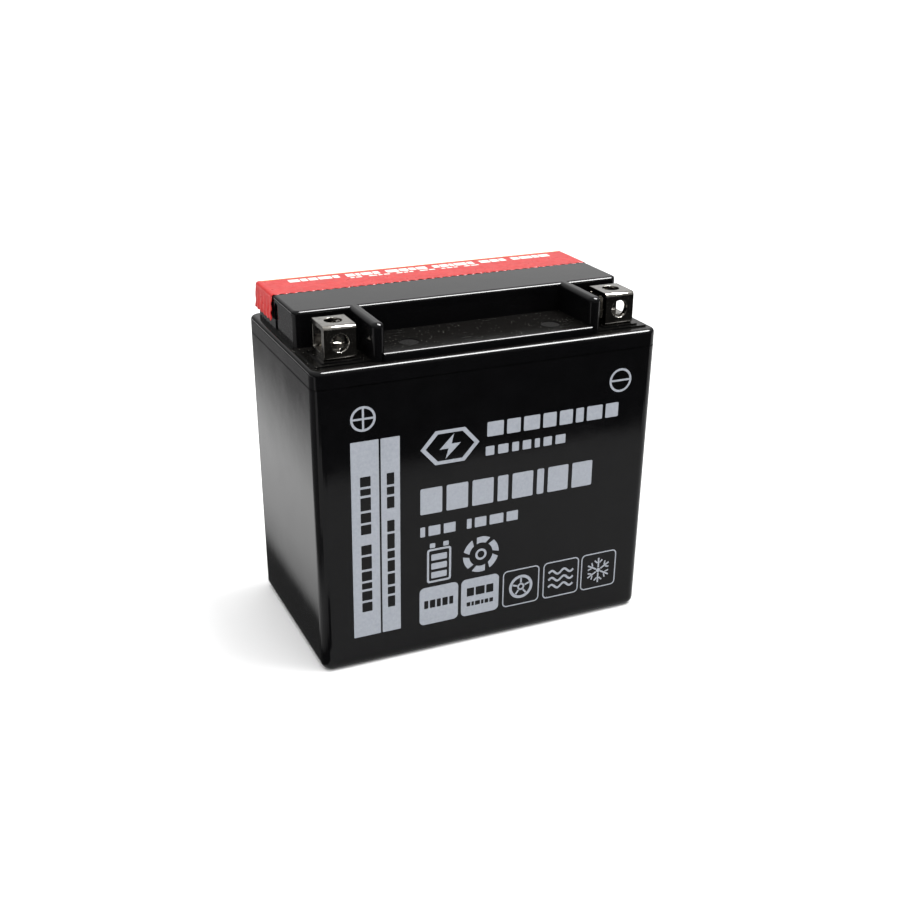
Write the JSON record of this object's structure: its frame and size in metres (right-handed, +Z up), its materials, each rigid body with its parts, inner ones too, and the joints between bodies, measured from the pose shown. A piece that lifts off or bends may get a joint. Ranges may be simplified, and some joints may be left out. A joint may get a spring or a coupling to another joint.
{
  "type": "motorcycle battery",
  "caption": "Sealed 12 V lead-acid motorcycle battery: black case, raised rear block with red sealing tape, box terminals at both front corners.",
  "frame": {"origin": "middle of the base, on the surface that the battery stands on", "axes": "+X along the length, from the positive terminal to the negative; -Y towards the terminals; +Z up"},
  "size_m": [0.15, 0.087, 0.145],
  "materials": {
    "case_plastic": "moulded, glossy, black",
    "strip_plastic": "moulded, satin, black",
    "tape_film": "semi-gloss printed film, red",
    "terminal_metal": "satin, slightly warm grey",
    "lead": "cast, dull",
    "positive_plate": "pasted, matt, dark brown",
    "negative_plate": "pasted, matt, grey",
    "glass_mat": "felted glass fibre",
    "seal_rubber": "matt black",
    "resin": "cast, satin",
    "porous_plastic": "sintered, matt",
    "print": "screen-printed ink, grey"
  },
  "bodies": {
    "battery": {"container": "case_plastic", "cover": "case_plastic", "vent_discs": "porous_plastic", "positive_terminal": "terminal_metal", "negative_terminal": "terminal_metal", "positive_post": "lead", "negative_post": "lead", "post_o_rings": "seal_rubber", "post_resin": "resin", "partition_welds": "lead", "positive_plates_1": "positive_plate", "positive_plates_2": "positive_plate", "positive_plates_3": "positive_plate", "positive_plates_4": "positive_plate", "positive_plates_5": "positive_plate", "positive_plates_6": "positive_plate", "negative_plates_1": "negative_plate", "negative_plates_2": "negative_plate", "negative_plates_3": "negative_plate", "negative_plates_4": "negative_plate", "negative_plates_5": "negative_plate", "negative_plates_6": "negative_plate", "glass_mats_1": "glass_mat", "glass_mats_2": "glass_mat", "glass_mats_3": "glass_mat", "glass_mats_4": "glass_mat", "glass_mats_5": "glass_mat", "glass_mats_6": "glass_mat", "positive_strap_1": "lead", "positive_strap_2": "lead", "positive_strap_3": "lead", "positive_strap_4": "lead", "positive_strap_5": "lead", "positive_strap_6": "lead", "negative_strap_1": "lead", "negative_strap_2": "lead", "negative_strap_3": "lead", "negative_strap_4": "lead", "negative_strap_5": "lead", "negative_strap_6": "lead"},
    "plug_strip": {"cap_strip": "strip_plastic", "strip_lid": "strip_plastic", "plug_o_rings": "seal_rubber", "relief_valves": "seal_rubber"},
    "tape": {"seal_tape": "tape_film"}
  },
  "joints": [
    {"name": "plug_strip_lift", "type": "slide", "parent": "battery", "child": "plug_strip", "axis": [0, 0, 1], "range_m": [0, 0.025]},
    {"name": "seal_tape_lift", "type": "slide", "parent": "plug_strip", "child": "tape", "axis": [0, 0, 1], "range_m": [0, 0.02]}
  ]
}
